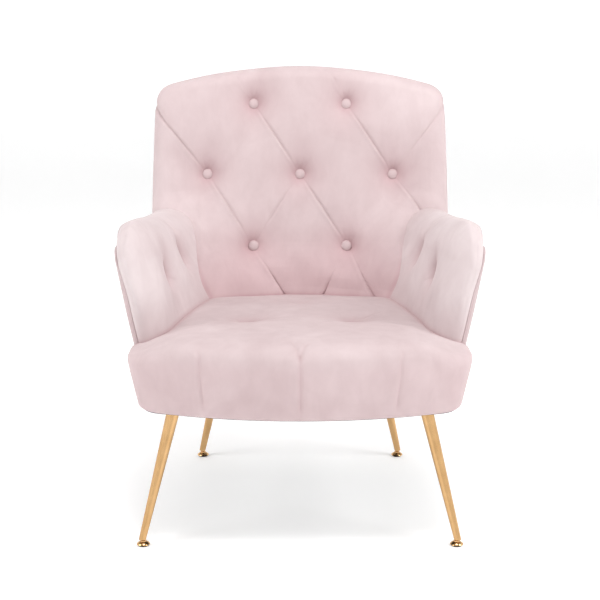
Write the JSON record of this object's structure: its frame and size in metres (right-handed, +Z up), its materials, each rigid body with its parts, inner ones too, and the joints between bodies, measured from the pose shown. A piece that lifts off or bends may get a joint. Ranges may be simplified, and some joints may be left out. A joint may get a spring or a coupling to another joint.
{
  "type": "upholstered armchair",
  "caption": "Low upholstered armchair with a deep-buttoned leaning back, padded flared arms, a tight bow-fronted seat and slender splayed metal legs with levelling feet.",
  "frame": {"origin": "on the floor, under the middle of the chair's box", "axes": "+Z up; the front of the seat faces -Y; +X is to the right of someone who looks at the front"},
  "size_m": [0.6868, 0.74, 0.834],
  "materials": {
    "velvet": "short-pile velvet, soft sheen at turning edges",
    "foam": "cut polyurethane foam",
    "timber": "sawn, unfinished",
    "bright_steel": "bright drawn steel",
    "gold_metal": "polished, gold-coloured plating",
    "pad_rubber": "matt black",
    "webbing": "woven elastic webbing",
    "deck_cloth": "plain woven cloth",
    "dust_cloth": "thin black non-woven cloth",
    "twine": "waxed twine"
  },
  "bodies": {
    "root": {"arm_buttons": "velvet", "back_buttons": "velvet", "back_foam": "foam", "back_lower_rail": "timber", "back_top_rail": "timber", "back_webbing_level": "webbing", "back_webbing_upright": "webbing", "button_twines": "twine", "dust_cover": "dust_cloth", "front_left_leg": "gold_metal", "front_left_leg_block": "timber", "front_right_leg": "gold_metal", "front_right_leg_block": "timber", "front_seat_rail": "timber", "inside_back_cover": "velvet", "left_arm_foam": "foam", "left_arm_piping": "velvet", "left_arm_post": "timber", "left_arm_rail": "timber", "left_back_post": "timber", "left_inside_arm_cover": "velvet", "left_outside_arm_cover": "velvet", "left_seat_rail": "timber", "leg_screws": "bright_steel", "outside_back_cover": "velvet", "rear_left_leg": "gold_metal", "rear_left_leg_block": "timber", "rear_right_leg": "gold_metal", "rear_right_leg_block": "timber", "rear_seat_rail": "timber", "right_arm_foam": "foam", "right_arm_piping": "velvet", "right_arm_post": "timber", "right_arm_rail": "timber", "right_back_post": "timber", "right_inside_arm_cover": "velvet", "right_outside_arm_cover": "velvet", "right_seat_rail": "timber", "seat_cover": "velvet", "seat_deck_cloth": "deck_cloth", "seat_foam": "foam", "seat_spring_1": "bright_steel", "seat_spring_2": "bright_steel", "seat_spring_3": "bright_steel", "seat_spring_4": "bright_steel", "seat_spring_5": "bright_steel", "spring_clips": "bright_steel"},
    "front_left_pad": {"front_left_foot_pad": "pad_rubber"},
    "front_left_screw": {"front_left_foot": "gold_metal"},
    "front_right_pad": {"front_right_foot_pad": "pad_rubber"},
    "front_right_screw": {"front_right_foot": "gold_metal"},
    "rear_left_pad": {"rear_left_foot_pad": "pad_rubber"},
    "rear_left_screw": {"rear_left_foot": "gold_metal"},
    "rear_right_pad": {"rear_right_foot_pad": "pad_rubber"},
    "rear_right_screw": {"rear_right_foot": "gold_metal"}
  },
  "joints": [
    {"name": "front_left_foot_height", "type": "slide", "parent": "root", "child": "front_left_pad", "axis": [0, 0, 1], "range_m": [-0.006, 0.002]},
    {"name": "front_left_foot_turn", "type": "hinge", "parent": "front_left_pad", "child": "front_left_screw", "pos_m": [-0.287, -0.272, 0.008], "axis": [0, 0, 1], "range_deg": [-2160, 720]},
    {"name": "front_right_foot_height", "type": "slide", "parent": "root", "child": "front_right_pad", "axis": [0, 0, 1], "range_m": [-0.006, 0.002]},
    {"name": "front_right_foot_turn", "type": "hinge", "parent": "front_right_pad", "child": "front_right_screw", "pos_m": [0.287, -0.272, 0.008], "axis": [0, 0, 1], "range_deg": [-2160, 720]},
    {"name": "rear_left_foot_height", "type": "slide", "parent": "root", "child": "rear_left_pad", "axis": [0, 0, 1], "range_m": [-0.006, 0.002]},
    {"name": "rear_left_foot_turn", "type": "hinge", "parent": "rear_left_pad", "child": "rear_left_screw", "pos_m": [-0.211, 0.2341, 0.008], "axis": [0, 0, 1], "range_deg": [-2160, 720]},
    {"name": "rear_right_foot_height", "type": "slide", "parent": "root", "child": "rear_right_pad", "axis": [0, 0, 1], "range_m": [-0.006, 0.002]},
    {"name": "rear_right_foot_turn", "type": "hinge", "parent": "rear_right_pad", "child": "rear_right_screw", "pos_m": [0.211, 0.2341, 0.008], "axis": [0, 0, 1], "range_deg": [-2160, 720]}
  ],
  "couplings": [
    {"joint": "front_left_foot_turn", "follows": "front_left_foot_height", "rad_per_m": 6283.2},
    {"joint": "front_right_foot_turn", "follows": "front_right_foot_height", "rad_per_m": 6283.2},
    {"joint": "rear_left_foot_turn", "follows": "rear_left_foot_height", "rad_per_m": 6283.2},
    {"joint": "rear_right_foot_turn", "follows": "rear_right_foot_height", "rad_per_m": 6283.2}
  ]
}
